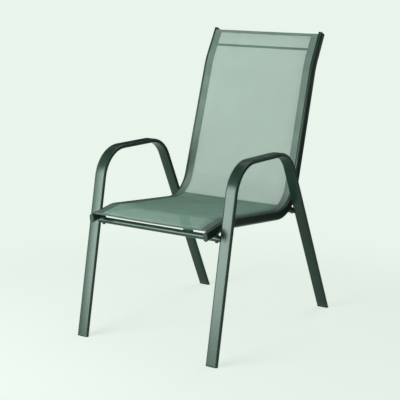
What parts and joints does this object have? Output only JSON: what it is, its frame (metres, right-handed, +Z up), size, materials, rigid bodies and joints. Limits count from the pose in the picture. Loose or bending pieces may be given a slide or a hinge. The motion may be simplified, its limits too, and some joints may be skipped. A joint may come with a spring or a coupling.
{
  "type": "sling patio chair",
  "caption": "Stackable patio armchair with bent flat-oval tube side frames, round crossbars and a see-through mesh sling stretched between curved rails.",
  "frame": {"origin": "on the floor, at the middle of the chair's overall width and overall depth", "axes": "+Z up, the chair faces -Y, +X to the right as seen from its front"},
  "size_m": [0.5338, 0.7412, 0.9471],
  "materials": {
    "frame_steel": "dark grey-green powder coat, satin, fine orange peel",
    "zinc_steel": "zinc plated",
    "black_screw_steel": "black oxide, satin",
    "end_plastic": "moulded, fine matte grain",
    "sling_mesh": "open basket weave of coated yarn, about half open",
    "hem_cord_plastic": "extruded round cord"
  },
  "bodies": {
    "root": {"left_side_frame": "frame_steel", "right_side_frame": "frame_steel", "front_crossbar": "frame_steel", "back_crossbar": "frame_steel", "top_spreader_rod": "frame_steel", "left_sling_rail": "frame_steel", "right_sling_rail": "frame_steel", "sling_fabric": "sling_mesh", "left_hem_cord": "hem_cord_plastic", "right_hem_cord": "hem_cord_plastic", "left_rail_front_cap": "end_plastic", "right_rail_front_cap": "end_plastic", "left_rail_top_cap": "end_plastic", "right_rail_top_cap": "end_plastic", "left_front_foot_glide": "end_plastic", "right_front_foot_glide": "end_plastic", "left_back_foot_glide": "end_plastic", "right_back_foot_glide": "end_plastic", "left_front_bar_spigot": "zinc_steel", "right_front_bar_spigot": "zinc_steel", "left_back_bar_spigot": "zinc_steel", "right_back_bar_spigot": "zinc_steel", "left_front_rail_saddle": "end_plastic", "right_front_rail_saddle": "end_plastic", "left_back_rail_saddle": "end_plastic", "right_back_rail_saddle": "end_plastic", "left_front_rail_bolt": "black_screw_steel", "right_front_rail_bolt": "black_screw_steel", "left_back_rail_bolt": "black_screw_steel", "right_back_rail_bolt": "black_screw_steel", "left_front_threaded_slug": "zinc_steel", "right_front_threaded_slug": "zinc_steel", "left_back_threaded_slug": "zinc_steel", "right_back_threaded_slug": "zinc_steel", "left_spreader_screw": "black_screw_steel", "right_spreader_screw": "black_screw_steel"}
  },
  "joints": []
}
